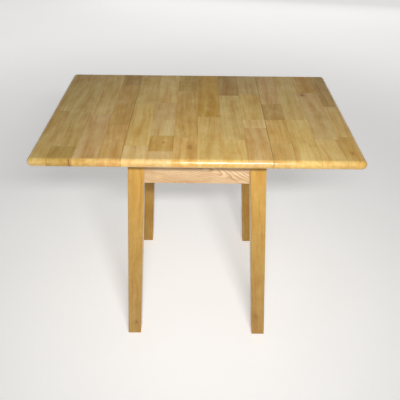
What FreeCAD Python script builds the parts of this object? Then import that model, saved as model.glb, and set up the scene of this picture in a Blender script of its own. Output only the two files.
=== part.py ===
import FreeCAD, Part
import Sketcher
import os
import re
from FreeCAD import Placement, Rotation, Vector

# Drop leaf table. Millimetres, +Z up, origin on the floor under the middle of the top.
# X runs across the two leaves and the front of the table faces -Y.

doc = FreeCAD.newDocument("DropLeafTable")

DRIVING = [
    # the top
    ("tableWidth", 914, "across both raised leaves"),
    ("tableDepth", 600, "front to back"),
    ("tableHeight", 750, "floor to the top surface"),
    ("topThickness", 26, "stave board"),
    ("midWidth", 408, "fixed middle panel between the leaves"),
    ("leafGap", 0.6, "open joint between panel and leaf"),
    ("edgeLand", 0.1, "flat left on each half of the rounded edge"),
    ("cornerExtra", 2, "plan corner radius beyond the edge radius"),
    # legs
    ("legInset", 8.5, "leg faces inside the panel's joint faces"),
    ("endOverhang", 75, "top past the leg faces, front and rear"),
    ("legTopWidth", 47, "square leg at the top"),
    ("legFootWidth", 45, "square leg at the foot"),
    ("legSplay", 50, "how far each foot stands out, both ways"),
    ("legRound", 2.5, "rounding of the leg's long edges"),
    ("glideHeight", 3, "foot glide under the leg"),
    ("glideRadius", 9, ""),
    ("nailRadius", 1.2, "nail of the glide"),
    ("nailLength", 16, ""),
    # aprons
    ("apronHeight", 100, ""),
    ("apronThickness", 20, ""),
    ("frontSetback", 7, "front and rear apron faces behind the leg faces"),
    ("sideSetback", 12, "side apron faces behind the leg faces"),
    # corner blocks and hanger bolts
    ("blockThickness", 22, ""),
    ("blockHeight", 72, ""),
    ("blockDrop", 6, "block below the underside of the top"),
    ("blockGap", 2, "block to the leg's inner corner"),
    ("boltRadius", 4, ""),
    ("boltBite", 30, "length of bolt in the leg"),
    ("boltTail", 3, "bolt past the nut"),
    ("washerRadius", 9, ""),
    ("washerThickness", 1.6, ""),
    ("nutCornerRadius", 7.5, "centre to corner of the hexagon"),
    ("nutHeight", 6.5, ""),
    # angle brackets between the aprons and the top
    ("angleLeg", 22, ""),
    ("angleWidth", 18, ""),
    ("angleThickness", 2, ""),
    ("angleScrewOut", 13, "bracket screws from the bracket's corner"),
    ("angleFrontX", 50, "front and rear brackets from the middle"),
    ("angleSideY", 70, "side brackets from the middle"),
    # wood screws
    ("screwRadius", 1.8, ""),
    ("screwLength", 14, "below the head"),
    ("screwTip", 3, "pointed end"),
    ("screwHeadRadius", 3.4, ""),
    ("screwHeadHeight", 1.5, ""),
    ("screwHeadFace", 2.4, "radius of the head's outer face"),
    ("screwPoint", 0.2, "radius left at the screw's point"),
    ("drillOver", 1, "drilled past the screw's point"),
    ("slotWidth", 0.8, "driver slot"),
    ("slotDepth", 0.6, ""),
    ("blockScrewLength", 30, "screws of the corner blocks"),
    ("blockScrewSeat", 16, "block left under the screw head"),
    ("blockScrewIn", 8.4, "from the corner block's short end"),
    ("blockScrewRise", 24, "above and below the bolt"),
    ("seatClearance", 0.6, "screw head in its counterbore"),
    ("fitGap", 0.03, "round a fixed screw, bolt or nail"),
    # drop-leaf hinges
    ("hingeLegGap", 8, "hinge plates to the legs' inner faces"),
    ("hingeLength", 60, "along the joint"),
    ("hingePlate", 1.6, "plate thickness"),
    ("tablePlateWidth", 19, "short plate, on the panel"),
    ("leafPlateWidth", 50, "long plate, on the leaf"),
    ("pinDrop", 3.5, "pin axis below the underside of the top"),
    ("pinRadius", 1.5, ""),
    ("knuckleRadius", 3.1, ""),
    ("runningGap", 0.05, "pin in a turning part"),
    ("sideGap", 0.3, "between faces that turn past each other"),
    ("pinHeadHeight", 1, ""),
    ("pinHeadRadius", 2.4, ""),
    ("plateScrewIn", 6.5, "plate screws from the plate's long edge"),
    # folding leaf stays
    ("stayThickness", 2.5, "arms and ears"),
    ("stayPlate", 2, "screwed plates of the stay brackets"),
    ("armRadius", 6, "half the width of an arm"),
    ("rivetRadius", 2.5, ""),
    ("rivetHeadRadius", 4.2, ""),
    ("rivetHeadHeight", 1.5, ""),
    ("apronPivotDrop", 50, "apron pivot below the underside of the top"),
    ("apronPivotOut", 11, "apron pivot out from the apron"),
    ("leafPivotReach", 185, "leaf pivot out from the leaf joint"),
    ("leafPivotDrop", 9.5, "leaf pivot below the underside of the leaf"),
    ("elbowReach", 169, "elbow out from the leaf joint"),
    ("elbowDrop", 48, "elbow below the underside of the leaf"),
    ("apronPlateHeight", 30, ""),
    ("apronPlateWidth", 34, ""),
    ("leafPlateLength", 44, "leaf plate of the stay"),
    ("leafPlateBreadth", 34, ""),
]

WORKED_OUT = [
    ("undersideZ", "tableHeight - topThickness"),
    ("jointX", "midWidth / 2 + leafGap / 2"),
    ("hingeAxisZ", "undersideZ - pinDrop"),
    ("leafInX", "midWidth / 2 + leafGap"),
    ("halfMid", "midWidth / 2"),
    ("halfWidth", "tableWidth / 2"),
    ("halfDepth", "tableDepth / 2"),
    ("edgeRadius", "topThickness / 2 - edgeLand"),
    ("legLength", "undersideZ - glideHeight"),
    ("legOutX", "halfMid - legInset"),
    ("legInX", "legOutX - legTopWidth"),
    ("legOutY", "halfDepth - endOverhang"),
    ("legInY", "legOutY - legTopWidth"),
    ("hingeY", "legInY - hingeLegGap - hingeLength / 2"),
    ("footOutX", "legOutX + legSplay"),
    ("footInX", "footOutX - legFootWidth"),
    ("footOutY", "legOutY + legSplay"),
    ("footInY", "footOutY - legFootWidth"),
    ("footMidX", "footOutX - legFootWidth / 2"),
    ("footMidY", "footOutY - legFootWidth / 2"),
    ("innerLean", "(footInX - legInX) / legLength"),
    ("apronBottomZ", "undersideZ - apronHeight"),
    ("apronFootX", "legInX + innerLean * apronHeight"),
    ("apronFootY", "legInY + innerLean * apronHeight"),
    ("sideFaceX", "legOutX - sideSetback"),
    ("sideInX", "sideFaceX - apronThickness"),
    ("frontFaceY", "legOutY - frontSetback"),
    ("frontInY", "frontFaceY - apronThickness"),
    # along the diagonal through a leg, n outwards to the leg and u along the block
    ("blockFaceN", "(legInX + legInY) / sqrt(2) - blockGap"),
    ("blockBackN", "blockFaceN - blockThickness"),
    ("boltU", "(legInX - legInY) / sqrt(2)"),
    ("boltZ", "undersideZ - blockDrop - blockHeight / 2"),
    ("nutN", "blockBackN - washerThickness - nutHeight"),
    ("boltStartN", "nutN - boltTail"),
    ("boltEndN", "blockFaceN + blockGap + boltBite"),
    ("boltLength", "boltEndN - boltStartN"),
    ("blockShortX", "blockFaceN * sqrt(2) - frontInY"),
    ("blockShortY", "blockFaceN * sqrt(2) - sideInX"),
    ("faceLowU", "blockFaceN - sqrt(2) * frontInY"),
    ("faceHighU", "sqrt(2) * sideInX - blockFaceN"),
    ("backLowU", "blockBackN - sqrt(2) * frontInY"),
    ("backHighU", "sqrt(2) * sideInX - blockBackN"),
    # the stay's pivots and its two arms
    ("apronPivotX", "sideFaceX + apronPivotOut"),
    ("apronPivotZ", "undersideZ - apronPivotDrop"),
    ("leafPivotX", "jointX + leafPivotReach"),
    ("leafPivotZ", "undersideZ - leafPivotDrop"),
    ("elbowX", "jointX + elbowReach"),
    ("elbowZ", "undersideZ - elbowDrop"),
    ("lowerArmLength", "sqrt((elbowX - apronPivotX) ^ 2 + (elbowZ - apronPivotZ) ^ 2)"),
    ("upperArmLength", "sqrt((elbowX - leafPivotX) ^ 2 + (elbowZ - leafPivotZ) ^ 2)"),
    ("lowerArmTurn", "atan2(elbowZ - apronPivotZ; elbowX - apronPivotX)"),
    ("upperArmTurn", "atan2(elbowZ - leafPivotZ; elbowX - leafPivotX)"),
    ("lowerArmY", "-sideGap / 2 - stayThickness"),
    ("upperArmY", "sideGap / 2"),
    ("apronEarY", "lowerArmY - sideGap - stayThickness"),
    ("leafEarY", "upperArmY + stayThickness + sideGap"),
    # screw spacings
    ("hingeScrewPitch", "hingeLength / 3"),
    ("apronScrewY", "apronPlateWidth / 3"),
    ("apronScrewZ", "apronPlateHeight / 3"),
    ("leafScrewX", "leafPlateLength / 3"),
    ("leafScrewY", "leafPlateBreadth / 3"),
    # widths, and holes long enough to pass right through
    ("armWidth", "armRadius * 2"),
    ("plateDrillLength", "screwLength + drillOver"),
    ("blockDrillLength", "blockScrewLength + drillOver"),
    ("nailHoleLength", "nailLength + drillOver"),
    ("blockPass", "blockThickness * 2"),
    ("stayPass", "stayThickness * 3"),
    ("hingePass", "hingeLength * 2"),
]


def fillSheet(name, rows, formula):
    sheet = doc.addObject("Spreadsheet::Sheet", name)
    for line, row in enumerate(rows, start=1):
        sheet.set(f"A{line}", row[0])
        sheet.set(f"B{line}", formula(row[1]))
        sheet.setAlias(f"B{line}", row[0])
        if len(row) > 2 and row[2]:
            sheet.set(f"C{line}", row[2])
    return sheet


homes = {row[0]: "Sizes" for row in DRIVING}
homes.update({row[0]: "Places" for row in WORKED_OUT})


def cells(text):
    """An expression with each size written as its cell in a sheet."""
    def cell(word):
        return f"{homes[word[0]]}.{word[0]}" if word[0] in homes else word[0]
    return re.sub(r"[A-Za-z]+", cell, text)


sizes = fillSheet("Sizes", DRIVING, str)
doc.recompute()
places = fillSheet("Places", WORKED_OUT, lambda text: "=" + cells(text))
doc.recompute()


def tie(piece, **formulas):
    for name, text in formulas.items():
        piece.setExpression(name, cells(text))


def put(piece, x, y, z, turn=None):
    if turn is not None:
        piece.Placement = Placement(Vector(), turn)
    for axis, text in zip("xyz", (x, y, z)):
        piece.setExpression(f"Placement.Base.{axis}", cells(text))
    return piece


def value(name):
    return {"Sizes": sizes, "Places": places}[homes[name]].get(name)


def number(text):
    """The value of a size's name, or of its name with a minus sign."""
    return -value(text[1:]) if text.startswith("-") else value(text)


# small builders

FRONT_WARD = Rotation(Vector(0, 0, 1), Vector(0, -1, 0))
REAR_WARD = Rotation(Vector(0, 0, 1), Vector(0, 1, 0))
RIGHT_WARD = Rotation(Vector(0, 0, 1), Vector(1, 0, 0))
LEFT_WARD = Rotation(Vector(0, 0, 1), Vector(-1, 0, 0))
LEG_WARD = Rotation(Vector(0, 0, 1), Vector(1, -1, 0))
UPWARD = Rotation()
TURN_UP = Rotation(Vector(0, -1, 0), 1)  # turns +X towards +Z; each arm sets its own angle


def box(name, long, wide, high, x, y, z):
    piece = doc.addObject("Part::Box", name)
    tie(piece, Length=long, Width=wide, Height=high)
    return put(piece, x, y, z)


def rod(name, radius, length, x, y, z, turn=UPWARD):
    piece = doc.addObject("Part::Cylinder", name)
    tie(piece, Radius=radius, Height=length)
    return put(piece, x, y, z, turn)


def cone(name, low, high, length, z):
    piece = doc.addObject("Part::Cone", name)
    tie(piece, Radius1=low, Radius2=high, Height=length)
    return put(piece, "0", "0", z)


def fuse(name, *pieces):
    whole = doc.addObject("Part::MultiFuse", name)
    whole.Shapes = list(pieces)
    return whole


def group(name, *pieces):
    bundle = doc.addObject("Part::Compound", name)
    bundle.Links = list(pieces)
    return bundle


def cut(name, base, *tools):
    piece = doc.addObject("Part::Cut", name)
    piece.Base = base
    piece.Tool = tools[0] if len(tools) == 1 else group(name + "Tools", *tools)
    return piece


def copyTo(name, source, x, y, z, turn):
    twin = doc.addObject("App::Link", name)
    twin.LinkedObject = source
    return put(twin, x, y, z, turn)


def mirror(source, normal, name):
    twin = doc.addObject("Part::Mirroring", name)
    twin.Source = source
    twin.Normal = normal
    return twin


def toLeft(source, name):
    return mirror(source, Vector(1, 0, 0), name)


def toRear(source, name):
    return mirror(source, Vector(0, 1, 0), name)


def bothEnds(source, name):
    return group(name, source, toRear(source, name + "Rear"))


def bothSides(source, name):
    return group(name, source, toLeft(source, name + "Left"))


def allCorners(source, name):
    return bothSides(bothEnds(source, name + "Ends"), name)


def edgesOf(shape, wanted):
    return [f"Edge{index}" for index, edge in enumerate(shape.Edges, start=1) if wanted(edge)]


def plane(body, role):
    return next(datum for datum in body.Origin.OriginFeatures if datum.Role == role)


def outline(body, name, role, corners):
    """A closed straight-sided sketch whose corners are named sizes."""
    sketch = body.newObject("Sketcher::SketchObject", name)
    sketch.AttachmentSupport = [(plane(body, role), "")]
    sketch.MapMode = "FlatFace"
    points = [Vector(number(across), number(up), 0) for across, up in corners]
    count = len(points)
    for index in range(count):
        sketch.addGeometry(Part.LineSegment(points[index], points[(index + 1) % count]), False)
    for index in range(count):
        sketch.addConstraint(Sketcher.Constraint("Coincident", index, 2, (index + 1) % count, 1))
    for index, corner in enumerate(corners):
        for kind, text in zip(("DistanceX", "DistanceY"), corner):
            ends = (index, 1, -1, 1) if text.startswith("-") else (-1, 1, index, 1)
            rule = sketch.addConstraint(Sketcher.Constraint(kind, *ends, abs(number(text))))
            sketch.setExpression(f"Constraints[{rule}]", cells(text.lstrip("-")))
    return sketch


def padded(name, role, corners, thickness):
    body = doc.addObject("PartDesign::Body", name)
    sketch = outline(body, name + "Outline", role, corners)
    pad = body.newObject("PartDesign::Pad", name + "Pad")
    pad.Profile = sketch
    tie(pad, Length=thickness)
    doc.recompute()
    return body, pad


def rounded(body, name, feature, radius, wanted):
    fillet = body.newObject("PartDesign::Fillet", name)
    fillet.Base = (feature, edgesOf(feature.Shape, wanted))
    tie(fillet, Radius=radius)
    doc.recompute()
    return fillet


def wedge(name, turn, **formulas):
    body = doc.addObject("PartDesign::Body", name)
    body.Placement = Placement(Vector(), turn)
    block = body.newObject("PartDesign::AdditiveWedge", name + "Taper")
    tie(block, **formulas)
    doc.recompute()
    return body, block


# screws
# A screw's seat is at its origin: the head below, the shank upwards.

def makeScrew(name, length):
    shank = rod(name + "Shank", "screwRadius", f"{length} - screwTip", "0", "0", "0")
    tip = cone(name + "Tip", "screwRadius", "screwPoint", "screwTip", f"{length} - screwTip")
    head = cone(name + "Head", "screwHeadFace", "screwHeadRadius", "screwHeadHeight", "-screwHeadHeight")
    slot = box(name + "Slot", "screwHeadRadius * 2", "slotWidth", "slotDepth",
               "-screwHeadRadius", "-slotWidth / 2", "-screwHeadHeight")
    return cut(name, fuse(name + "Blank", shank, tip, head), slot)


plateScrew = makeScrew("plateScrew", "screwLength")
blockScrew = makeScrew("blockScrew", "blockScrewLength")
plateDrill = rod("plateDrill", "screwRadius + fitGap", "plateDrillLength", "0", "0", "0")
blockDrill = fuse("blockDrill",
                  rod("blockPilot", "screwRadius + fitGap", "blockDrillLength", "0", "0", "0"),
                  rod("blockSeat", "screwHeadRadius + seatClearance", "blockPass", "0", "0", "-blockPass"))


def screwsAt(name, spots, screw=plateScrew, drill=plateDrill):
    """The screws at a list of spots, and the drills that make room for them."""
    screws = [copyTo(f"{name}{index}", screw, *spot) for index, spot in enumerate(spots)]
    drills = [copyTo(f"{name}Drill{index}", drill, *spot) for index, spot in enumerate(spots)]
    return group(name + "Set", *screws), group(name + "Drills", *drills)


nodes = {}


def keep(node, piece):
    piece.Label = node
    nodes[node] = piece


# where the screws go, in the right front quarter

PLATE_SEAT = "undersideZ - hingePlate"
ANGLE_SEAT = "undersideZ - angleThickness"
ANGLE_SCREW_Z = "undersideZ - angleScrewOut"

hingeTableSpots = [("jointX - tablePlateWidth + plateScrewIn", f"-hingeY + {step} * hingeScrewPitch",
                    PLATE_SEAT, UPWARD) for step in (-1, 0, 1)]
hingeLeafSpots = [("jointX + leafPlateWidth - plateScrewIn", f"-hingeY + {step} * hingeScrewPitch",
                   PLATE_SEAT, UPWARD) for step in (-1, 1)]
hingeLeafSpots.append(("jointX + leafPlateWidth / 2", "-hingeY", PLATE_SEAT, UPWARD))
angleUpSpots = [("angleFrontX", "-frontInY + angleScrewOut", ANGLE_SEAT, UPWARD),
                ("sideInX - angleScrewOut", "-angleSideY", ANGLE_SEAT, UPWARD)]
angleFrontSpots = [("angleFrontX", "-frontInY + angleThickness", ANGLE_SCREW_Z, FRONT_WARD)]
angleSideSpots = [("sideInX - angleThickness", "-angleSideY", ANGLE_SCREW_Z, RIGHT_WARD)]
blockFrontSpots = [("blockShortX - blockScrewIn", "-frontInY + blockScrewSeat",
                    f"boltZ + {way} * blockScrewRise", FRONT_WARD) for way in (-1, 1)]
blockSideSpots = [("sideInX - blockScrewSeat", "-blockShortY + blockScrewIn",
                   f"boltZ + {way} * blockScrewRise", RIGHT_WARD) for way in (-1, 1)]
apronPlateSpots = [("sideFaceX + stayPlate", f"{side} * apronScrewY", f"apronPivotZ + {way} * apronScrewZ",
                    LEFT_WARD) for side in (-1, 1) for way in (-1, 1)]
leafPlateSpots = [(f"leafPivotX + {way} * leafScrewX", f"{side} * leafScrewY",
                   "undersideZ - stayPlate", UPWARD) for side in (-1, 1) for way in (-1, 1)]

hingeTableScrews, hingeTableDrills = screwsAt("hingeTableScrew", hingeTableSpots)
hingeLeafScrews, hingeLeafDrills = screwsAt("hingeLeafScrew", hingeLeafSpots)
angleUpScrews, angleUpDrills = screwsAt("angleUpScrew", angleUpSpots)
angleFrontScrews, angleFrontDrills = screwsAt("angleFrontScrew", angleFrontSpots)
angleSideScrews, angleSideDrills = screwsAt("angleSideScrew", angleSideSpots)
blockFrontScrews, blockFrontDrills = screwsAt("blockFrontScrew", blockFrontSpots, blockScrew, blockDrill)
blockSideScrews, blockSideDrills = screwsAt("blockSideScrew", blockSideSpots, blockScrew, blockDrill)
apronPlateScrews, apronPlateDrills = screwsAt("apronPlateScrew", apronPlateSpots)
leafPlateScrews, leafPlateDrills = screwsAt("leafPlateScrew", leafPlateSpots)


# the top

MATCH = 0.01  # how close counts as the same place


def upright(edge):
    run = edge.Vertexes[-1].Point - edge.Vertexes[0].Point
    return abs(run.x) < MATCH and abs(run.y) < MATCH


def makeTopPanel():
    corners = [("-halfMid", "-halfDepth"), ("halfMid", "-halfDepth"),
               ("halfMid", "halfDepth"), ("-halfMid", "halfDepth")]
    body, pad = padded("panelBoard", "XY_Plane", corners, "topThickness")
    put(body, "0", "0", "undersideZ")
    reach = value("halfDepth")

    def atEnd(edge):
        return not upright(edge) and all(abs(abs(end.Y) - reach) < MATCH for end in edge.Vertexes)

    rounded(body, "panelEdge", pad, "edgeRadius", atEnd)
    drills = allCorners(group("panelQuarterDrills", hingeTableDrills, angleUpDrills), "panelDrills")
    keep("top_panel", cut("topPanel", body, drills))


def makeLeaves():
    corners = [("leafInX", "-halfDepth"), ("halfWidth", "-halfDepth"),
               ("halfWidth", "halfDepth"), ("leafInX", "halfDepth")]
    body, pad = padded("leafBoard", "XY_Plane", corners, "topThickness")
    put(body, "0", "0", "undersideZ")
    inner = value("leafInX")

    def pastJoint(edge):
        return any(end.X - inner > MATCH for end in edge.Vertexes)

    corner = rounded(body, "leafCorner", pad, "edgeRadius + cornerExtra",
                     lambda edge: upright(edge) and pastJoint(edge))
    rounded(body, "leafEdge", corner, "edgeRadius",
            lambda edge: not upright(edge) and pastJoint(edge))
    drills = group("leafDrills", bothEnds(hingeLeafDrills, "leafHingeDrills"), leafPlateDrills)
    right = cut("rightLeaf", body, drills)
    keep("right_leaf", right)
    keep("left_leaf", toLeft(right, "leftLeaf"))


# legs, aprons and what joins them

def onDiagonal(n):
    """World x and y of a point on the leg's diagonal, n out from the middle."""
    return f"(boltU + {n}) / sqrt(2)", f"(boltU - {n}) / sqrt(2)"


def boltBore(name):
    """A close hole for the hanger bolt, as long as the bolt."""
    return rod(name, "boltRadius + fitGap", "boltLength", *onDiagonal("boltStartN"), "boltZ", LEG_WARD)


def makeLegs():
    body, taper = wedge("legBlank", Rotation(Vector(1, 0, 0), 90), Ymin="0", Ymax="legLength",
                        Xmin="footInX", Xmax="footOutX", Zmin="footInY", Zmax="footOutY",
                        X2min="legInX", X2max="legOutX", Z2min="legInY", Z2max="legOutY")
    put(body, "0", "0", "glideHeight")
    rounded(body, "legRounding", taper, "legRound",
            lambda edge: abs(edge.Vertexes[0].Y - edge.Vertexes[-1].Y) > value("legLength") / 2)
    nailHole = rod("legNailHole", "nailRadius + fitGap", "nailHoleLength",
                   "footMidX", "-footMidY", "glideHeight")
    frontRight = cut("frontRightLeg", body, boltBore("legBoltHole"), nailHole)
    rearRight = toRear(frontRight, "rearRightLeg")
    keep("front_right_leg", frontRight)
    keep("rear_right_leg", rearRight)
    keep("front_left_leg", toLeft(frontRight, "frontLeftLeg"))
    keep("rear_left_leg", toLeft(rearRight, "rearLeftLeg"))


def makeGlides():
    disc = rod("glideDisc", "glideRadius", "glideHeight", "footMidX", "-footMidY", "0")
    nail = rod("glideNail", "nailRadius", "glideHeight + nailLength", "footMidX", "-footMidY", "0")
    keep("foot_glides", allCorners(fuse("glide", disc, nail), "footGlides"))


def makeAprons():
    corners = [("-legInX", "undersideZ"), ("legInX", "undersideZ"),
               ("apronFootX", "apronBottomZ"), ("-apronFootX", "apronBottomZ")]
    body, _ = padded("frontBoard", "XZ_Plane", corners, "apronThickness")
    put(body, "0", "-frontInY", "0")
    drills = bothSides(group("frontQuarterDrills", angleFrontDrills, blockFrontDrills), "frontDrills")
    front = cut("frontApron", body, drills)
    keep("front_apron", front)
    keep("rear_apron", toRear(front, "rearApron"))
    corners = [("-legInY", "undersideZ"), ("legInY", "undersideZ"),
               ("apronFootY", "apronBottomZ"), ("-apronFootY", "apronBottomZ")]
    body, _ = padded("sideBoard", "YZ_Plane", corners, "apronThickness")
    put(body, "sideInX", "0", "0")
    drills = bothEnds(group("sideQuarterDrills", angleSideDrills, blockSideDrills), "sideDrills")
    right = cut("rightApron", body, drills, apronPlateDrills)
    keep("right_apron", right)
    keep("left_apron", toLeft(right, "leftApron"))


def makeCornerBlocks():
    body, _ = wedge("blockBlank", Rotation(Vector(0, 0, 1), 45), Ymin="-blockFaceN", Ymax="-blockBackN",
                    Xmin="faceLowU", Xmax="faceHighU", X2min="backLowU", X2max="backHighU",
                    Zmin="0", Zmax="blockHeight", Z2min="0", Z2max="blockHeight")
    put(body, "0", "0", "boltZ - blockHeight / 2")
    hole = rod("blockBoltHole", "boltRadius + seatClearance", "blockPass",
               *onDiagonal("(blockBackN - blockThickness / 2)"), "boltZ", LEG_WARD)
    frontRight = cut("frontRightBlock", body, hole, blockFrontDrills, blockSideDrills)
    rearRight = toRear(frontRight, "rearRightBlock")
    keep("front_right_corner_block", frontRight)
    keep("rear_right_corner_block", rearRight)
    keep("front_left_corner_block", toLeft(frontRight, "frontLeftBlock"))
    keep("rear_left_corner_block", toLeft(rearRight, "rearLeftBlock"))
    screws = group("blockScrews", blockFrontScrews, blockSideScrews)
    keep("corner_block_screws", allCorners(screws, "allBlockScrews"))


def makeHangerBolts():
    bolt = rod("bolt", "boltRadius", "boltLength", *onDiagonal("boltStartN"), "boltZ", LEG_WARD)
    keep("hanger_bolts", allCorners(bolt, "hangerBolts"))
    disc = rod("washerDisc", "washerRadius", "washerThickness",
               *onDiagonal("(nutN + nutHeight)"), "boltZ", LEG_WARD)
    washer = cut("washer", disc, boltBore("washerHole"))
    keep("bolt_washers", allCorners(washer, "boltWashers"))
    hexagon = doc.addObject("Part::Prism", "nutHexagon")
    hexagon.Polygon = 6
    tie(hexagon, Circumradius="nutCornerRadius", Height="nutHeight")
    put(hexagon, *onDiagonal("nutN"), "boltZ", LEG_WARD)
    keep("bolt_nuts", allCorners(cut("nut", hexagon, boltBore("nutBore")), "boltNuts"))


def makeAngleBrackets():
    front = fuse("angleFront",
                 box("angleFrontWall", "angleWidth", "angleThickness", "angleLeg",
                     "angleFrontX - angleWidth / 2", "-frontInY", "undersideZ - angleLeg"),
                 box("angleFrontFlat", "angleWidth", "angleLeg", "angleThickness",
                     "angleFrontX - angleWidth / 2", "-frontInY", "undersideZ - angleThickness"))
    side = fuse("angleSide",
                box("angleSideWall", "angleThickness", "angleWidth", "angleLeg",
                    "sideInX - angleThickness", "-angleSideY - angleWidth / 2", "undersideZ - angleLeg"),
                box("angleSideFlat", "angleLeg", "angleWidth", "angleThickness",
                    "sideInX - angleLeg", "-angleSideY - angleWidth / 2", "undersideZ - angleThickness"))
    pair = cut("anglePair", group("angles", front, side), angleUpDrills, angleFrontDrills, angleSideDrills)
    keep("top_angle_brackets", allCorners(pair, "topAngles"))
    screws = group("angleScrews", angleUpScrews, angleFrontScrews, angleSideScrews)
    keep("angle_bracket_screws", allCorners(screws, "allAngleScrews"))


# drop-leaf hinges

KNUCKLES = 5


def hingePlateOf(name, plate, tongue, own, boreGap, drills):
    """A plate with its share of the knuckles. The plate and the tongue are (width, x) pairs."""
    pieces = [box(name + "Flat", plate[0], "hingeLength", "hingePlate",
                  plate[1], "-hingeY - hingeLength / 2", "undersideZ - hingePlate")]
    for index in own:
        start = f"-hingeY - hingeLength / 2 + {index} * hingeLength / {KNUCKLES} + sideGap / 2"
        run = f"hingeLength / {KNUCKLES} - sideGap"
        pieces.append(box(f"{name}Tongue{index}", tongue[0], run, "hingePlate",
                          tongue[1], start, "undersideZ - hingePlate"))
        pieces.append(rod(f"{name}Knuckle{index}", "knuckleRadius", run,
                          "jointX", start, "hingeAxisZ", REAR_WARD))
    bore = rod(name + "Bore", f"pinRadius + {boreGap}", "hingePass",
               "jointX", "-hingeY - hingeLength", "hingeAxisZ", REAR_WARD)
    return cut(name, fuse(name + "Blank", *pieces), bore, drills)


def makeHinges():
    clear = "knuckleRadius + sideGap"
    table = hingePlateOf("hingeTable", (f"tablePlateWidth - {clear}", "jointX - tablePlateWidth"),
                         (f"{clear}", f"jointX - {clear} - leafGap / 2"),
                         range(0, KNUCKLES, 2), "fitGap", hingeTableDrills)
    leaf = hingePlateOf("hingeLeaf", (f"leafPlateWidth - {clear}", f"jointX + {clear}"),
                        (f"{clear}", "jointX + leafGap / 2"),
                        range(1, KNUCKLES, 2), "runningGap", hingeLeafDrills)
    start = "-hingeY - hingeLength / 2"
    pin = fuse("hingePin",
               rod("hingePinShank", "pinRadius", "hingeLength", "jointX", start, "hingeAxisZ", REAR_WARD),
               rod("hingePinNearHead", "pinHeadRadius", "pinHeadHeight", "jointX",
                   f"{start} - pinHeadHeight", "hingeAxisZ", REAR_WARD),
               rod("hingePinFarHead", "pinHeadRadius", "pinHeadHeight", "jointX",
                   f"{start} + hingeLength", "hingeAxisZ", REAR_WARD))
    for what, piece in (("table_plate", table), ("leaf_plate", leaf), ("pin", pin)):
        rear = toRear(piece, "rear" + piece.Name)
        keep(f"right_front_hinge_{what}", piece)
        keep(f"right_rear_hinge_{what}", rear)
        keep(f"left_front_hinge_{what}", toLeft(piece, "leftFront" + piece.Name))
        keep(f"left_rear_hinge_{what}", toLeft(rear, "leftRear" + piece.Name))
    keep("hinge_table_screws", allCorners(hingeTableScrews, "hingeTableScrews"))
    leafScrews = bothEnds(hingeLeafScrews, "rightHingeLeafScrews")
    keep("right_hinge_leaf_screws", leafScrews)
    keep("left_hinge_leaf_screws", toLeft(leafScrews, "leftHingeLeafScrews"))


# folding leaf stays

def eye(name, x, y, z, radius="armRadius", length="stayThickness"):
    return rod(name, radius, length, x, y, z, REAR_WARD)


def arm(name, length, pivotGap, elbowGap, angle, x, y, z):
    """A flat arm from its pivot to the elbow, turned up from +X by the angle."""
    bar = box(name + "Bar", length, "stayThickness", "armWidth", "0", "0", "-armRadius")
    blank = fuse(name + "Blank", bar,
                 eye(name + "Near", "0", "0", "0"), eye(name + "Far", length, "0", "0"))
    holes = [eye(name + hole, reach, "-stayThickness", "0", f"rivetRadius + {gap}", "stayPass")
             for hole, reach, gap in (("PivotHole", "0", pivotGap), ("ElbowHole", length, elbowGap))]
    piece = cut(name, blank, *holes)
    put(piece, x, y, z, TURN_UP)
    tie(piece, **{"Placement.Rotation.Angle": angle})
    return piece


def rivet(name, x, z, start, length, headStarts):
    heads = [eye(f"{name}Head{index}", x, head, z, "rivetHeadRadius", "rivetHeadHeight")
             for index, head in enumerate(headStarts)]
    return fuse(name, eye(name + "Shank", x, start, z, "rivetRadius", length), *heads)


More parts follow.
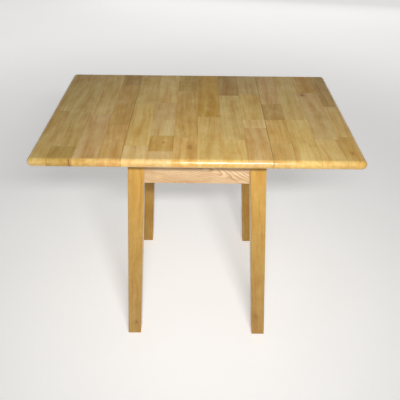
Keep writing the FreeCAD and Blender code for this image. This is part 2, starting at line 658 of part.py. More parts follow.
def makeStays():
    apronBracket = cut(
        "apronBracket",
        fuse("apronBracketBlank",
             box("apronBracketPlate", "stayPlate", "apronPlateWidth", "apronPlateHeight",
                 "sideFaceX", "-apronPlateWidth / 2", "apronPivotZ - apronPlateHeight / 2"),
             box("apronBracketEar", "apronPivotOut", "stayThickness", "armWidth",
                 "sideFaceX", "apronEarY", "apronPivotZ - armRadius"),
             eye("apronBracketEye", "apronPivotX", "apronEarY", "apronPivotZ")),
        eye("apronBracketHole", "apronPivotX", "apronEarY - stayThickness", "apronPivotZ",
            "rivetRadius + fitGap", "stayPass"),
        apronPlateDrills)
    leafBracket = cut(
        "leafBracket",
        fuse("leafBracketBlank",
             box("leafBracketPlate", "leafPlateLength", "leafPlateBreadth", "stayPlate",
                 "leafPivotX - leafPlateLength / 2", "-leafPlateBreadth / 2", "undersideZ - stayPlate"),
             box("leafBracketEar", "armWidth", "stayThickness", "leafPivotDrop",
                 "leafPivotX - armRadius", "leafEarY", "leafPivotZ"),
             eye("leafBracketEye", "leafPivotX", "leafEarY", "leafPivotZ")),
        eye("leafBracketHole", "leafPivotX", "leafEarY - stayThickness", "leafPivotZ",
            "rivetRadius + fitGap", "stayPass"),
        leafPlateDrills)
    lowerArm = arm("lowerArm", "lowerArmLength", "runningGap", "fitGap", "lowerArmTurn",
                   "apronPivotX", "lowerArmY", "apronPivotZ")
    upperArm = arm("upperArm", "upperArmLength", "runningGap", "fitGap", "upperArmTurn",
                   "leafPivotX", "upperArmY", "leafPivotZ")
    apronRivet = rivet("apronRivet", "apronPivotX", "apronPivotZ", "apronEarY",
                       "stayThickness * 2 + sideGap * 2",
                       ("apronEarY - rivetHeadHeight", "lowerArmY + stayThickness + sideGap"))
    leafRivet = rivet("leafRivet", "leafPivotX", "leafPivotZ", "upperArmY",
                      "stayThickness * 2 + sideGap", ("leafEarY + stayThickness",))
    # the elbow is open: each arm carries its own half of the elbow rivet, flush at the inner face
    lowerElbow = rivet("lowerElbow", "elbowX", "elbowZ", "lowerArmY", "stayThickness",
                       ("lowerArmY - rivetHeadHeight",))
    upperElbow = rivet("upperElbow", "elbowX", "elbowZ", "upperArmY", "stayThickness",
                       ("upperArmY + stayThickness",))
    pieces = {"stay_apron_bracket": apronBracket, "stay_leaf_bracket": leafBracket,
              "stay_lower_arm": lowerArm, "stay_upper_arm": upperArm,
              "stay_apron_rivet": apronRivet, "stay_leaf_rivet": leafRivet,
              "stay_lower_elbow_rivet": lowerElbow, "stay_upper_elbow_rivet": upperElbow,
              "stay_leaf_screws": leafPlateScrews}
    for what, piece in pieces.items():
        keep("right_" + what, piece)
        keep("left_" + what, toLeft(piece, "left" + piece.Name))
    keep("stay_apron_screws", bothSides(apronPlateScrews, "stayApronScrews"))


# build, check and write

def writeNodes():
    doc.recompute()
    failed = [piece.Name for piece in doc.Objects if {"Invalid", "Error"} & set(piece.State)]
    if failed:
        raise RuntimeError("failed objects: " + ", ".join(failed))
    for node, piece in nodes.items():
        shape = piece.Shape
        if shape.isNull() or not shape.isValid() or not shape.Solids:
            raise RuntimeError("bad shape: " + node)
    os.makedirs("parts", exist_ok=True)
    for node, piece in nodes.items():
        piece.Shape.exportStep(f"parts/{node}.step")
        print(node, len(piece.Shape.Solids), "solids,", round(piece.Shape.Volume / 1000, 1), "cm3")


makeTopPanel()
makeLeaves()
makeLegs()
makeGlides()
makeAprons()
makeCornerBlocks()
makeHangerBolts()
makeAngleBrackets()
makeHinges()
makeStays()
writeNodes()
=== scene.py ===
import math
import random

import bmesh
import bpy
from mathutils import Matrix, Vector


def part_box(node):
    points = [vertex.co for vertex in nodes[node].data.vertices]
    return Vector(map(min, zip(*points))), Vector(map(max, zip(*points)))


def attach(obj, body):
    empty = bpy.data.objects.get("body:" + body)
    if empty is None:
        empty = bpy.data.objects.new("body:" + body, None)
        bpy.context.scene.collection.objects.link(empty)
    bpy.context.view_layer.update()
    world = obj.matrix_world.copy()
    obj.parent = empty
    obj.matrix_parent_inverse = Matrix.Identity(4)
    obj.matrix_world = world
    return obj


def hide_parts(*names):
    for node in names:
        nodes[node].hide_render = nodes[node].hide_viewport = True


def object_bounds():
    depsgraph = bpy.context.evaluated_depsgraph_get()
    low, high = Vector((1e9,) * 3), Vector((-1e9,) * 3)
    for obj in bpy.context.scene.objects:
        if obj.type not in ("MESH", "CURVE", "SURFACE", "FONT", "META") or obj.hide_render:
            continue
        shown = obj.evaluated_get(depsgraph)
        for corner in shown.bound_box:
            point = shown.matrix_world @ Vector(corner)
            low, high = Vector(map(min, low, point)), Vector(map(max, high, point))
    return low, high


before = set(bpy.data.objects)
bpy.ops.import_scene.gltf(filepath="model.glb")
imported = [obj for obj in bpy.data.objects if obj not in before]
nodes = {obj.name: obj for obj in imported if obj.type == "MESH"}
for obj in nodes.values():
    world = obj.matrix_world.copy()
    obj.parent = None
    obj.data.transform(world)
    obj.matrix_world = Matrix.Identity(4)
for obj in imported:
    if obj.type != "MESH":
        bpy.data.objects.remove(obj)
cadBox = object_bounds()
print("frame loaded")


# helpers for shader nodes

def newMaterial(name):
    material = bpy.data.materials.new(name)
    material.use_nodes = True
    tree = material.node_tree
    return material, tree, tree.nodes["Principled BSDF"]


def feed(tree, value, socket):
    # a node output is linked, anything else is set on the socket
    if isinstance(value, bpy.types.NodeSocket):
        tree.links.new(value, socket)
    else:
        socket.default_value = value


def maths(tree, operation, first, second=0.0, third=0.0):
    node = tree.nodes.new("ShaderNodeMath")
    node.operation = operation
    for socket, value in zip(node.inputs, (first, second, third)):
        feed(tree, value, socket)
    return node.outputs[0]


def vectorMaths(tree, operation, first, second):
    node = tree.nodes.new("ShaderNodeVectorMath")
    node.operation = operation
    feed(tree, first, node.inputs[0])
    feed(tree, second, node.inputs[1])
    return node.outputs["Value"] if operation == "LENGTH" else node.outputs[0]


def splitVector(tree, vector):
    node = tree.nodes.new("ShaderNodeSeparateXYZ")
    feed(tree, vector, node.inputs[0])
    return node.outputs[0], node.outputs[1], node.outputs[2]


def joinVector(tree, x, y, z):
    node = tree.nodes.new("ShaderNodeCombineXYZ")
    for socket, value in zip(node.inputs, (x, y, z)):
        feed(tree, value, socket)
    return node.outputs[0]


def noise(tree, vector, detail=3.0, roughness=0.55, scale=1.0):
    node = tree.nodes.new("ShaderNodeTexNoise")
    feed(tree, vector, node.inputs["Vector"])
    node.inputs["Scale"].default_value = scale
    node.inputs["Detail"].default_value = detail
    node.inputs["Roughness"].default_value = roughness
    return node.outputs["Fac"]


def spread(tree, value, low, high, outLow=0.0, outHigh=1.0):
    node = tree.nodes.new("ShaderNodeMapRange")
    node.interpolation_type = "SMOOTHSTEP"
    feed(tree, value, node.inputs["Value"])
    for name, number in (("From Min", low), ("From Max", high), ("To Min", outLow), ("To Max", outHigh)):
        feed(tree, number, node.inputs[name])
    return node.outputs["Result"]


def blendColour(tree, amount, first, second, kind="MIX"):
    node = tree.nodes.new("ShaderNodeMix")
    node.data_type = "RGBA"
    node.blend_type = kind
    feed(tree, amount, node.inputs[0])
    feed(tree, first, node.inputs[6])
    feed(tree, second, node.inputs[7])
    return node.outputs[2]


def raised(tree, height, strength, distance):
    node = tree.nodes.new("ShaderNodeBump")
    node.inputs["Strength"].default_value = strength
    node.inputs["Distance"].default_value = distance
    feed(tree, height, node.inputs["Height"])
    return node.outputs[0]


def objectPlace(tree):
    return tree.nodes.new("ShaderNodeTexCoord").outputs["Object"]


# wood

# each field of the grain: changes a metre across and along, its own shift, detail and roughness,
# with None where the look holds the rate along
grainFields = {
    "slow": (7.0, None, 2.3, 2.0, 0.55),
    "quick": (24.0, None, 8.1, 2.0, 0.55),
    "broad": (30.0, 2.2, 3.1, 2.0, 0.5),
    "streak": (115.0, 4.6, 7.7, 4.0, 0.62),
    "fibre": (560.0, 14.0, 1.9, 3.0, 0.65),
    "pores": (1500.0, 60.0, 5.3, 2.0, 0.5),
    "mottle": (26.0, 15.0, 6.6, 3.0, 0.6),
    "patch": (12.0, 4.0, 9.4, 2.0, 0.55),
}

# tints over the board's colour: field, where it starts and is full, its amount and tint in the look
earlyTints = [
    ("broad", 0.38, 0.68, "broad", "deep", "MULTIPLY"),
    ("mottle", 0.5, 0.7, "mottle", "deep", "MULTIPLY"),
    ("mottle", 0.5, 0.3, "pale", "cream", "MIX"),
    ("streak", 0.46, 0.72, "streak", "red", "MULTIPLY"),
    ("streak", 0.46, 0.26, "pale", "cream", "MIX"),
]

# where each mark starts and is full
ringRise = (0.3, 0.88)
ringDrop = (1.0, 0.9)
ringPatch = (0.34, 0.62)
fibreEdge = (0.5, 0.75)
poreEdge = (0.62, 0.72)
mottleEdge = (0.3, 0.7)
faintRings = 0.25  # share of the rings' strength between the patches
slantSpread = 12.9  # keeps the slants of two boards apart
poreRoughness = 0.12
fibreRelief = 0.4
smoother = 0.05
rougher = 0.07


def paintWood(tree, shader, look, across, along, depth, base, seed, endFace):
    # across, along and depth are metres in the board, with the grain running along
    def field(name, line=across, rate=None):
        wide, long, shift, detail, rough = grainFields[name]
        place = joinVector(tree, maths(tree, "MULTIPLY", line, wide),
                           maths(tree, "MULTIPLY_ADD", along, rate or long, shift),
                           maths(tree, "MULTIPLY_ADD", depth, wide, seed))
        return noise(tree, place, detail, rough)

    def centred(value, amount):
        return maths(tree, "MULTIPLY_ADD", value, amount, -amount / 2)

    def tinted(colour, amount, tint, kind="MULTIPLY"):
        return blendColour(tree, amount, colour, tint, kind)

    # slow bends and a slant of the board's own carry every grain line with them
    slow = centred(field("slow", rate=look["bendRate"]), look["bend"])
    quick = centred(field("quick", rate=look["rippleRate"]), look["ripple"])
    turn = maths(tree, "SINE", maths(tree, "MULTIPLY", seed, slantSpread))
    slant = maths(tree, "MULTIPLY", turn, look["slant"])
    wander = maths(tree, "ADD", maths(tree, "MULTIPLY_ADD", along, slant, across),
                   maths(tree, "ADD", slow, quick))
    fields = {name: field(name, wander) for name in ("broad", "streak", "fibre", "pores")}
    fields.update({name: field(name) for name in ("mottle", "patch")})

    # yearly rings, cut lengthwise, give arches where the ring axis runs out of the board
    heartX = maths(tree, "MULTIPLY_ADD", along, look["tilt"], wander)
    heartZ = maths(tree, "MULTIPLY_ADD", along, look["dive"], maths(tree, "ADD", depth, look["heartDepth"]))
    reach = maths(tree, "SQRT", maths(tree, "ADD", maths(tree, "MULTIPLY", heartX, heartX),
                                      maths(tree, "MULTIPLY", heartZ, heartZ)))
    rings = maths(tree, "FRACT", maths(tree, "MULTIPLY_ADD", fields["broad"], look["ringJitter"],
                                       maths(tree, "MULTIPLY", reach, look["ringsPerMetre"])))
    # a ring darkens slowly and ends sharply
    ringLine = maths(tree, "MULTIPLY", spread(tree, rings, *ringRise), spread(tree, rings, *ringDrop))
    patches = spread(tree, fields["patch"], *ringPatch, look["rings"] * faintRings, look["rings"])
    ringLine = maths(tree, "MULTIPLY", ringLine, patches)

    colour = base
    for name, start, full, amount, tint, kind in earlyTints:
        strength = spread(tree, fields[name], start, full, 0.0, look[amount])
        colour = tinted(colour, strength, look[tint], kind)
    colour = tinted(colour, ringLine, look["ring"])
    colour = tinted(colour, spread(tree, fields["fibre"], *fibreEdge, 0.0, look["fibre"]), look["deep"])
    poreMark = spread(tree, fields["pores"], *poreEdge)
    colour = tinted(colour, maths(tree, "MULTIPLY", poreMark, look["pores"]), look["pore"])
    colour = tinted(colour, maths(tree, "MULTIPLY", endFace, look["endGrain"]), look["end"])

    rough = spread(tree, fields["mottle"], *mottleEdge, look["roughness"] - smoother,
                   look["roughness"] + rougher)
    feed(tree, maths(tree, "MULTIPLY_ADD", poreMark, poreRoughness, rough), shader.inputs["Roughness"])
    relief = maths(tree, "SUBTRACT", maths(tree, "MULTIPLY", fields["fibre"], fibreRelief), poreMark)
    feed(tree, raised(tree, relief, look["relief"], look["reliefDepth"]), shader.inputs["Normal"])
    shader.inputs["IOR"].default_value = look["ior"]
    shader.inputs["Specular IOR Level"].default_value = look["specular"]
    shader.inputs["Coat Weight"].default_value = look["lacquer"]
    shader.inputs["Coat Roughness"].default_value = look["lacquerRough"]
    return colour


# a knot has a wide brown halo and a darker core, each sized as a share of its radius
knotLook = {
    "wobbleScale": (190.0, 120.0, 150.0), "wobble": 0.9, "stretch": 0.6,
    "haloOut": 2.6, "haloIn": 0.9, "haloStrength": 0.55, "halo": (0.72, 0.5, 0.3, 1.0),
    "coreOut": 1.25, "coreIn": 0.7, "core": (0.5, 0.33, 0.19, 1.0),
}


def addKnots(tree, colour, across, along, knots):
    look = knotLook
    wobble = noise(tree, vectorMaths(tree, "MULTIPLY", objectPlace(tree), look["wobbleScale"]), 2.0)
    for acrossPlace, alongPlace, radius, strength in knots:
        sideways = maths(tree, "SUBTRACT", across, acrossPlace)
        lengthways = maths(tree, "MULTIPLY", maths(tree, "SUBTRACT", along, alongPlace), look["stretch"])
        gap = vectorMaths(tree, "LENGTH", joinVector(tree, sideways, lengthways, 0.0), (0, 0, 0))
        distance = maths(tree, "MULTIPLY_ADD", wobble, radius * look["wobble"], gap)
        halo = spread(tree, distance, radius * look["haloOut"], radius * look["haloIn"], 0.0,
                      strength * look["haloStrength"])
        core = spread(tree, distance, radius * look["coreOut"], radius * look["coreIn"], 0.0, strength)
        colour = blendColour(tree, halo, colour, look["halo"], "MULTIPLY")
        colour = blendColour(tree, core, colour, look["core"], "MULTIPLY")
    return colour


rubberwood = {
    "tilt": 0.045, "dive": 0.02, "heartDepth": 0.06,
    "bend": 0.028, "bendRate": 3.4, "ripple": 0.006, "rippleRate": 17.0, "slant": 0.035,
    "ringsPerMetre": 90.0, "ringJitter": 1.6, "rings": 0.3,
    "broad": 0.55, "streak": 0.8, "mottle": 0.5, "pale": 0.24,
    "fibre": 0.4, "pores": 0.6, "endGrain": 0.3,
    "deep": (0.84, 0.74, 0.54, 1.0), "red": (0.88, 0.69, 0.48, 1.0), "cream": (0.80, 0.63, 0.31, 1.0),
    "ring": (0.8, 0.64, 0.42, 1.0), "pore": (0.5, 0.36, 0.22, 1.0), "end": (0.86, 0.72, 0.5, 1.0),
    "roughness": 0.4, "relief": 0.12, "reliefDepth": 0.0002,
    "ior": 1.5, "specular": 0.22, "lacquer": 0.5, "lacquerRough": 0.12,
}


# the stave top
# Staves run from left to right. Each is its boards from the rear to the front, as (length in metres, tone),
# and a length of 0 takes what is left.

staveTop = {
    "pitch": 0.068,
    "trim": 0.006,  # what the leaf's first stave loses at the joint
    "glueLine": 0.00035,
    "glueColour": (0.36, 0.25, 0.13, 1.0),
    "glueChange": (14.0, 9.0, 14.0),
    "arris": 0.0004,
    "arrisAngle": 50,
    "cornerRadius": 0.002,  # beyond the rounding of the edge
    "roundSteps": 14,
    "cornerSteps": 8,
    "endJoint": 0.22,
    "randomSeed": 11,
    # how far one board may differ from its tone, and how far its heart lies to the side
    "lift": (0.95, 1.05),
    "greenShift": (0.985, 1.015),
    "blueShift": (0.93, 1.07),
    "heartShift": (-0.03, 0.03),
    "seedRange": (0.0, 60.0),
    "tones": {
        "olive": (0.57, 0.41, 0.14), "paleOlive": (0.61, 0.438, 0.155),
        "darkOlive": (0.475, 0.33, 0.09), "greenish": (0.62, 0.45, 0.175),
        "pinkish": (0.61, 0.413, 0.168), "pale": (0.64, 0.465, 0.185),
        "golden": (0.59, 0.39, 0.11), "amber": (0.55, 0.33, 0.06),
        "brown": (0.46, 0.29, 0.085), "cream": (0.67, 0.495, 0.21),
        "tan": (0.61, 0.43, 0.15), "orange": (0.60, 0.388, 0.125),
        "yellow": (0.645, 0.465, 0.16), "grey": (0.575, 0.42, 0.165),
    },
    "staves": [
        [(0.31, "olive"), (0, "olive")],
        [(0.075, "pinkish"), (0.24, "paleOlive"), (0.213, "olive"), (0, "darkOlive")],
        [(0.33, "greenish"), (0.26, "pinkish"), (0, "tan")],
        [(0.106, "brown"), (0.294, "golden"), (0, "orange")],
        [(0.03, "pinkish"), (0.22, "paleOlive"), (0.27, "yellow"), (0, "cream")],
        [(0.244, "pale"), (0.118, "pinkish"), (0.1, "pale"), (0.088, "golden"), (0, "cream")],
        [(0.15, "darkOlive"), (0.32, "golden"), (0, "orange")],
        [(0.34, "amber"), (0, "tan")],
        [(0.181, "brown"), (0.3, "greenish"), (0, "yellow")],
        [(0.17, "grey"), (0.186, "tan"), (0.053, "cream"), (0, "pinkish")],
        [(0.244, "pinkish"), (0.112, "brown"), (0.144, "golden"), (0, "tan")],
        [(0.353, "paleOlive"), (0, "yellow")],
        [(0.156, "golden"), (0.138, "pinkish"), (0.18, "pale"), (0, "tan")],
        [(0.26, "brown"), (0.2, "tan"), (0, "golden")],
    ],
    # knots: where along x and y, radius, strength
    "knots": [(0.349, 0.128, 0.011, 0.8), (-0.02, -0.225, 0.013, 0.45), (0.424, -0.25, 0.005, 0.6),
              (-0.095, -0.2, 0.003, 0.8), (-0.342, -0.297, 0.004, 0.8)],
}


def roundedBoard(path, faceEnds, low, high, steps):
    # path holds (x, y, normalX, normalY) of the flat part's edge, open at the joint faces
    middle = (low + high) / 2
    radius = (high - low) / 2
    mesh = bmesh.new()
    rings = []
    for step in range(steps + 1):
        angle = math.pi * (step / steps - 0.5)
        out = radius * math.cos(angle)
        height = middle + radius * math.sin(angle)
        rings.append([mesh.verts.new((x + nx * out, y + ny * out, height)) for x, y, nx, ny in path])
    count = len(path)
    joints = set(faceEnds)
    for step in range(steps):
        for index in range(count):
            after = (index + 1) % count
            if (index, after) in joints:
                continue
            lower, upper = rings[step], rings[step + 1]
            mesh.faces.new((lower[index], lower[after], upper[after], upper[index]))
    mesh.faces.new(rings[-1])
    mesh.faces.new(rings[0][::-1])
    for index, after in faceEnds:
        near = [ring[index] for ring in rings]
        far = [ring[after] for ring in rings]
        mesh.faces.new(near + far[::-1])
    return mesh


def boardTable(edges):
    # the boards of every stave, each with its span in x and y
    depth = cadBox[1][1] - cadBox[0][1]
    rear = cadBox[1][1]
    pick = random.Random(staveTop["randomSeed"])
    table = []
    for index, boards in enumerate(staveTop["staves"]):
        used = sum(length for length, tone in boards)
        start = rear
        for length, tone in boards:
            end = start - (length or depth - used)
            red, green, blue = staveTop["tones"][tone]
            lift = pick.uniform(*staveTop["lift"])
            green *= pick.uniform(*staveTop["greenShift"])
            blue *= pick.uniform(*staveTop["blueShift"])
            heart = pick.uniform(*staveTop["heartShift"])
            seed = pick.uniform(*staveTop["seedRange"])
            table.append({"x": (edges[index], edges[index + 1]), "y": (end, start),
                          "colour": (red * lift, green * lift, blue * lift), "heart": heart, "seed": seed})
            start = end
    return table


def staveEdges():
    # staves are laid out from the middle of the top; the leaves' first staves are trimmed at the joints
    pitch = staveTop["pitch"]
    outer = cadBox[1][0]
    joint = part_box("right_leaf")[0][0]
    half = [0.0, pitch, 2 * pitch, joint]
    half += [joint + count * pitch - staveTop["trim"] for count in (1, 2, 3)] + [outer]
    return [-x for x in half[:0:-1]] + half


def cutIntoBoards(mesh, table):
    nearEdge = 0.001
    merge = 1e-6
    low = min(vertex.co.x for vertex in mesh.verts)
    high = max(vertex.co.x for vertex in mesh.verts)
    for x in sorted({x for board in table for x in board["x"]}):
        if low + nearEdge < x < high - nearEdge:
            geometry = mesh.verts[:] + mesh.edges[:] + mesh.faces[:]
            bmesh.ops.bisect_plane(mesh, geom=geometry, plane_co=(x, 0, 0), plane_no=(1, 0, 0), dist=merge)
    for board in table:
        left, right = board["x"]
        if right < low or left > high:
            continue
        faces = [face for face in mesh.faces if left < face.calc_center_median().x < right]
        geometry = list({edge for face in faces for edge in face.edges})
        geometry += list({vertex for face in faces for vertex in face.verts}) + faces
        cut = (0, board["y"][0], 0)
        bmesh.ops.bisect_plane(mesh, geom=geometry, plane_co=cut, plane_no=(0, 1, 0), dist=merge)


def markBoards(piece, table):
    # each corner carries its board's colour, its middle and seed, and its half size and heart
    data = piece.data
    colour = data.color_attributes.new("boardColour", "FLOAT_COLOR", "CORNER")
    place = data.attributes.new("boardPlace", "FLOAT_VECTOR", "CORNER")
    size = data.attributes.new("boardSize", "FLOAT_VECTOR", "CORNER")

    def distance(board, x, y):
        outX = max(board["x"][0] - x, x - board["x"][1], 0)
        outY = max(board["y"][0] - y, y - board["y"][1], 0)
        return outX + outY

    for face in data.polygons:
        x, y = face.center[:2]
        board = min(table, key=lambda item: distance(item, x, y))
        middleX = sum(board["x"]) / 2
        middleY = sum(board["y"]) / 2
        halfX = (board["x"][1] - board["x"][0]) / 2
        halfY = (board["y"][1] - board["y"][0]) / 2
        for loop in face.loop_indices:
            colour.data[loop].color = (*board["colour"], 1.0)
            place.data[loop].vector = (middleX, middleY, board["seed"])
            size.data[loop].vector = (halfX, halfY, board["heart"])


def finishBoard(piece):
    for face in piece.data.polygons:
        face.use_smooth = True
    arris = piece.modifiers.new("easedArris", "BEVEL")
    arris.width = staveTop["arris"]
    arris.segments = 2
    arris.limit_method = "ANGLE"
    arris.angle_limit = math.radians(staveTop["arrisAngle"])
    shade = piece.modifiers.new("evenShading", "WEIGHTED_NORMAL")
    shade.keep_sharp = True


def staveWood():
    material, tree, shader = newMaterial("lacqueredStaves")
    x, y, z = splitVector(tree, objectPlace(tree))
    attributes = {}
    for name in ("boardColour", "boardPlace", "boardSize"):
        node = tree.nodes.new("ShaderNodeAttribute")
        node.attribute_name = name
        attributes[name] = node
    middleX, middleY, seed = splitVector(tree, attributes["boardPlace"].outputs["Vector"])
    halfX, halfY, heart = splitVector(tree, attributes["boardSize"].outputs["Vector"])
    across = maths(tree, "SUBTRACT", x, middleX)
    along = maths(tree, "SUBTRACT", y, middleY)
    ringAcross = maths(tree, "ADD", across, heart)
    normal = splitVector(tree, tree.nodes.new("ShaderNodeTexCoord").outputs["Normal"])
    endFace = spread(tree, maths(tree, "ABSOLUTE", normal[1]), 0.35, 0.95)
    depth = maths(tree, "SUBTRACT", z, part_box("top_panel")[0][2])
    colour = paintWood(tree, shader, rubberwood, ringAcross, along, depth,
                       attributes["boardColour"].outputs["Color"], seed, endFace)

    # glue lines between the boards
    sideLine = maths(tree, "SUBTRACT", halfX, maths(tree, "ABSOLUTE", across))
    endLine = maths(tree, "SUBTRACT", halfY, maths(tree, "ABSOLUTE", along))
    wide = staveTop["glueLine"] * 1.6
    thin = staveTop["glueLine"] * 0.4
    line = maths(tree, "MAXIMUM", spread(tree, sideLine, wide, thin),
                 spread(tree, endLine, wide, thin, 0.0, staveTop["endJoint"]))
    uneven = noise(tree, vectorMaths(tree, "MULTIPLY", objectPlace(tree), staveTop["glueChange"]), 2.0)
    line = maths(tree, "MULTIPLY", line, spread(tree, uneven, 0.35, 0.65, 0.25, 0.8))
    colour = blendColour(tree, line, colour, staveTop["glueColour"], "MULTIPLY")
    colour = addKnots(tree, colour, x, y, staveTop["knots"])
    feed(tree, colour, shader.inputs["Base Color"])
    return material


def edgePath(node):
    # the flat part's edge, from the front to the rear, and which of its spans are joint faces
    low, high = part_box(node)
    radius = (high[2] - low[2]) / 2
    front = low[1] + radius
    rear = high[1] - radius
    if node == "top_panel":
        path = [(low[0], front, 0, -1), (high[0], front, 0, -1), (high[0], rear, 0, 1), (low[0], rear, 0, 1)]
        return path, [(1, 2), (3, 0)]
    side = 1 if node == "right_leaf" else -1
    joint = low[0] if side > 0 else high[0]
    outer = (high[0] if side > 0 else low[0]) - side * radius
    corner = staveTop["cornerRadius"]
    path = [(joint, front, 0, -1)]
    for turn in range(staveTop["cornerSteps"] + 1):
        angle = math.pi / 2 * turn / staveTop["cornerSteps"]
        x = outer + side * corner * (math.sin(angle) - 1)
        y = front + corner * (1 - math.cos(angle))
        path.append((x, y, side * math.sin(angle), -math.cos(angle)))
    path += [(x, -y, nx, -ny) for x, y, nx, ny in path[::-1]]
    return path, [(len(path) - 1, 0)]


def buildTop():
    table = boardTable(staveEdges())
    wood = staveWood()
    for node, name, body in (("top_panel", "middlePanel", "frame"),
                             ("left_leaf", "leftLeafBoard", "left_leaf"),
                             ("right_leaf", "rightLeafBoard", "right_leaf")):
        low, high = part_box(node)
        path, faceEnds = edgePath(node)
        mesh = roundedBoard(path, faceEnds, low[2], high[2], staveTop["roundSteps"])
        cutIntoBoards(mesh, table)
        bmesh.ops.recalc_face_normals(mesh, faces=mesh.faces)
        data = bpy.data.meshes.new(name)
        mesh.to_mesh(data)
        mesh.free()
        piece = bpy.data.objects.new(name, data)
        bpy.context.scene.collection.objects.link(piece)
        markBoards(piece, table)
        finishBoard(piece)
        data.materials.append(wood)
        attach(piece, body)
        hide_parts(node)


buildTop()
print("stave top built")


# legs, aprons and corner blocks

# seed and seedStep set each piece's own grain; lean is how far a leg's grain follows its splay
legWood = dict(rubberwood, rings=0.4, streak=0.5, broad=0.5, mottle=0.5, ringsPerMetre=100.0,
               heartDepth=0.035, tilt=0.03, bend=0.03, bendRate=6.0, lacquer=0.4, endGrain=0.5,
               colour=(0.48, 0.287, 0.066, 1.0), cream=(0.62, 0.4, 0.12, 1.0),
               seed=4.3, seedStep=7.9, lean=0.07)
# the rear legs get a darker, browner copy of the leg wood: painted shade for the back of the frame
rearLegPaintedShade = dict(legWood, colour=(0.43, 0.245, 0.038, 1.0))
apronWood = dict(rubberwood, rings=0.8, ringsPerMetre=230.0, ringJitter=5.0, heartDepth=0.018,
                 tilt=0.22, dive=0.1, bend=0.06, bendRate=7.0, ripple=0.009, rippleRate=46.0,
                 mottle=0.35, slant=0.14, streak=0.65, ring=(0.64, 0.43, 0.29, 1.0),
                 colour=(0.61, 0.465, 0.295, 1.0), red=(0.85, 0.59, 0.4, 1.0),
                 seed=21.0, seedStep=5.7)
blockWood = dict(rubberwood, rings=0.35, lacquer=0.0, roughness=0.62, relief=0.3,
                 colour=(0.56, 0.38, 0.19, 1.0), seed=51.0, seedStep=3.1)

# knots: across and along from the leg's middle, radius, strength
legKnots = {
    "front_left_leg": [(0.004, -0.305, 0.006, 0.7), (-0.010, -0.14, 0.003, 0.4)],
    "front_right_leg": [(-0.006, -0.27, 0.008, 0.35)],
}


def solidWood(node, look, axis, number, lean=(0.0, 0.0), knots=()):
    # axis is the way of the grain; lean shears the grain of a splayed leg
    material, tree, shader = newMaterial(node + "Wood")
    place = vectorMaths(tree, "SUBTRACT", objectPlace(tree), middleOf(node))
    x, y, z = splitVector(tree, place)
    if axis == "Z":
        across = maths(tree, "MULTIPLY_ADD", z, lean[0], x)
        depth = maths(tree, "MULTIPLY_ADD", z, lean[1], y)
        along = z
    elif axis == "X":
        across, depth, along = z, y, x
    else:
        across, depth, along = z, x, y
    normal = splitVector(tree, tree.nodes.new("ShaderNodeTexCoord").outputs["Normal"])
    endFace = spread(tree, maths(tree, "ABSOLUTE", normal["XYZ".index(axis)]), 0.5, 0.95)
    seed = look["seed"] + look["seedStep"] * number
    colour = paintWood(tree, shader, look, across, along, depth, look["colour"], seed, endFace)
    if knots:
        colour = addKnots(tree, colour, across, along, knots)
    feed(tree, colour, shader.inputs["Base Color"])
    return material


def repaint(node, material):
    for place in nodes[node].material_slots:
        place.material = material


def middleOf(node):
    low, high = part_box(node)
    return tuple((low[axis] + high[axis]) / 2 for axis in range(3))


def paintBase():
    for number, node in enumerate(("front_left_leg", "front_right_leg", "rear_left_leg", "rear_right_leg")):
        middle = middleOf(node)
        # legs behind the middle take the darker copy of the leg wood, painted shade
        look = rearLegPaintedShade if middle[1] > 0 else legWood
        lean = [math.copysign(look["lean"], middle[axis]) for axis in (0, 1)]
        repaint(node, solidWood(node, look, "Z", number, lean, legKnots.get(node, ())))
    for number, node in enumerate(("front_apron", "rear_apron", "left_apron", "right_apron")):
        axis = "X" if number < 2 else "Y"
        repaint(node, solidWood(node, apronWood, axis, number))
    for number, node in enumerate(("front_left_corner_block", "front_right_corner_block",
                                   "rear_left_corner_block", "rear_right_corner_block")):
        repaint(node, solidWood(node, blockWood, "Z", number))


paintBase()
print("base painted")


# steel and nylon

hardware = {
    "hinge": {"colour": (0.56, 0.54, 0.49, 1.0), "warm": (0.62, 0.55, 0.38, 1.0),
              "roughness": 0.34, "brush": (60.0, 900.0, 60.0)},
    "stay": {"colour": (0.53, 0.52, 0.50, 1.0), "warm": (0.6, 0.54, 0.4, 1.0),
             "roughness": 0.36, "brush": (90.0, 500.0, 700.0)},
    "zinc": {"colour": (0.62, 0.60, 0.54, 1.0), "warm": (0.68, 0.6, 0.4, 1.0),
             "roughness": 0.28, "brush": (400.0, 400.0, 400.0)},
    "spot": (0.22, 0.19, 0.15, 1.0),
    "cloudScale": 45.0, "spotScale": 380.0,
    "nylonDark": (0.045, 0.035, 0.03, 1.0), "nylonPale": (0.09, 0.075, 0.06, 1.0), "nylonScale": 260.0,
    "reliefDepth": 0.0001,
}


def platedSteel(name, look):
    material, tree, shader = newMaterial(name)
    place = objectPlace(tree)
    cloud = noise(tree, place, 3.0, 0.6, hardware["cloudScale"])
    brushed = noise(tree, vectorMaths(tree, "MULTIPLY", place, look["brush"]), 3.0, 0.6)
    spots = noise(tree, place, 2.0, 0.5, hardware["spotScale"])
    colour = blendColour(tree, spread(tree, cloud, 0.4, 0.7, 0.0, 0.7), look["colour"], look["warm"])
    colour = blendColour(tree, spread(tree, spots, 0.64, 0.74, 0.0, 0.4), colour, hardware["spot"])
    feed(tree, colour, shader.inputs["Base Color"])
    shader.inputs["Metallic"].default_value = 1.0
    feed(tree, spread(tree, brushed, 0.3, 0.7, look["roughness"] - 0.08, look["roughness"] + 0.12),
         shader.inputs["Roughness"])
    feed(tree, raised(tree, brushed, 0.15, hardware["reliefDepth"]), shader.inputs["Normal"])
    return material


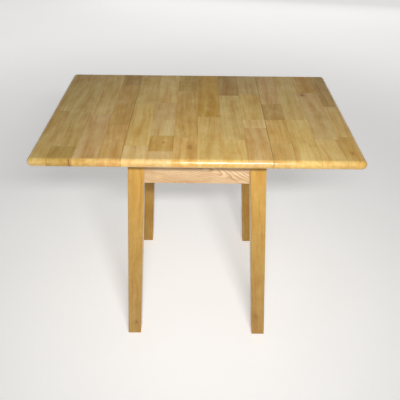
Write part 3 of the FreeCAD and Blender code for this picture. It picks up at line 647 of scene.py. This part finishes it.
def nylon():
    material, tree, shader = newMaterial("glideNylon")
    cloud = noise(tree, objectPlace(tree), 3.0, 0.6, hardware["nylonScale"])
    feed(tree, blendColour(tree, cloud, hardware["nylonDark"], hardware["nylonPale"]),
         shader.inputs["Base Color"])
    feed(tree, spread(tree, cloud, 0.3, 0.7, 0.42, 0.6), shader.inputs["Roughness"])
    feed(tree, raised(tree, cloud, 0.2, hardware["reliefDepth"]), shader.inputs["Normal"])
    return material


def paintHardware():
    hinge = platedSteel("hingeSteel", hardware["hinge"])
    stay = platedSteel("staySteel", hardware["stay"])
    zinc = platedSteel("zincFasteners", hardware["zinc"])
    glide = nylon()
    for node in nodes:
        if node.endswith(("_leg", "_apron", "_corner_block", "_leaf", "top_panel")):
            continue
        if node == "foot_glides":
            repaint(node, glide)
        elif "screw" in node or "rivet" in node or "bolt" in node:
            repaint(node, zinc)
        elif "stay" in node:
            repaint(node, stay)
        else:
            repaint(node, hinge)


paintHardware()
print("hardware painted")


# floor, light and camera

studio = {
    # the floor glows a little, and more and more from glowStart to glowEnd metres from the table
    "floorHalf": 14.0, "floorColour": (0.88, 0.875, 0.865, 1.0), "floorShade": (0.83, 0.825, 0.815, 1.0),
    "floorGlow": 0.4, "farGlow": 0.66, "glowStart": 1.3, "glowEnd": 3.4,
    "floorRoughness": 0.9, "floorSpecular": 0.1,
    # the room is pale near the horizon and dimmer above it
    "roomColour": (1.0, 0.985, 0.965, 1.0), "horizonLight": 0.78, "upperLight": 0.13,
    "horizonEnd": 0.15, "upperStart": 0.36,
    "lamps": {
        "keyLamp": {"power": 11.3, "width": 0.55, "height": 0.1, "beam": 105.0,
                    "place": (0.17, -1.45, 1.6), "aim": (0.0, 0.1, 0.7)},
        "rearLamp": {"power": 9.0, "width": 4.0, "height": 1.2, "beam": 180.0,
                     "place": (0.7, 4.4, 0.9), "aim": (0.0, 0.0, 0.35)},
    },
    "cameraPlace": (0.009, -1.366, 1.415), "pitch": 36.6, "roll": 0.6, "lens": 42.6, "sensor": 36.0,
}


def buildFloor():
    half = studio["floorHalf"]
    corners = [(-half, -half, 0), (half, -half, 0), (half, half, 0), (-half, half, 0)]
    data = bpy.data.meshes.new("studioFloor")
    data.from_pydata(corners, [], [(0, 1, 2, 3)])
    floor = bpy.data.objects.new("studioFloor", data)
    bpy.context.scene.collection.objects.link(floor)
    material, tree, shader = newMaterial("paleFloor")
    soft = spread(tree, noise(tree, objectPlace(tree), 3.0, 0.5, 3.0), 0.3, 0.7, 0.0, 0.4)
    feed(tree, blendColour(tree, soft, studio["floorColour"], studio["floorShade"]),
         shader.inputs["Base Color"])
    shader.inputs["Roughness"].default_value = studio["floorRoughness"]
    shader.inputs["Specular IOR Level"].default_value = studio["floorSpecular"]
    shader.inputs["Emission Color"].default_value = studio["floorColour"]
    away = vectorMaths(tree, "LENGTH", objectPlace(tree), (0, 0, 0))
    feed(tree, spread(tree, away, studio["glowStart"], studio["glowEnd"], studio["floorGlow"],
                      studio["farGlow"]), shader.inputs["Emission Strength"])
    data.materials.append(material)


def buildRoom():
    world = bpy.data.worlds.new("softRoom")
    world.use_nodes = True
    tree = world.node_tree
    height = splitVector(tree, tree.nodes.new("ShaderNodeTexCoord").outputs["Generated"])[2]
    tree.nodes["Background"].inputs[0].default_value = studio["roomColour"]
    feed(tree, spread(tree, height, studio["horizonEnd"], studio["upperStart"], studio["horizonLight"],
                      studio["upperLight"]), tree.nodes["Background"].inputs[1])
    bpy.context.scene.world = world


def buildLamps():
    for name, lamp in studio["lamps"].items():
        light = bpy.data.lights.new(name, "AREA")
        light.energy = lamp["power"]
        light.shape = "RECTANGLE"
        light.size = lamp["width"]
        light.size_y = lamp["height"]
        light.spread = math.radians(lamp["beam"])
        holder = bpy.data.objects.new(name, light)
        bpy.context.scene.collection.objects.link(holder)
        aim = Vector(lamp["aim"]) - Vector(lamp["place"])
        turn = aim.to_track_quat("-Z", "Y").to_matrix().to_4x4()
        holder.matrix_world = Matrix.Translation(lamp["place"]) @ turn


def buildCamera():
    camera = bpy.data.cameras.new("viewCamera")
    camera.sensor_width = studio["sensor"]
    camera.lens = studio["lens"]
    eye = bpy.data.objects.new("viewCamera", camera)
    bpy.context.scene.collection.objects.link(eye)
    pitch = math.radians(studio["pitch"])
    tilt = Matrix.Rotation(math.pi / 2 - pitch, 4, "X")
    roll = Matrix.Rotation(math.radians(studio["roll"]), 4, "Z")
    eye.matrix_world = Matrix.Translation(studio["cameraPlace"]) @ (tilt @ roll)
    bpy.context.scene.camera = eye


buildFloor()
buildRoom()
buildLamps()
buildCamera()
bpy.context.scene.view_settings.view_transform = "Standard"
print("studio ready")
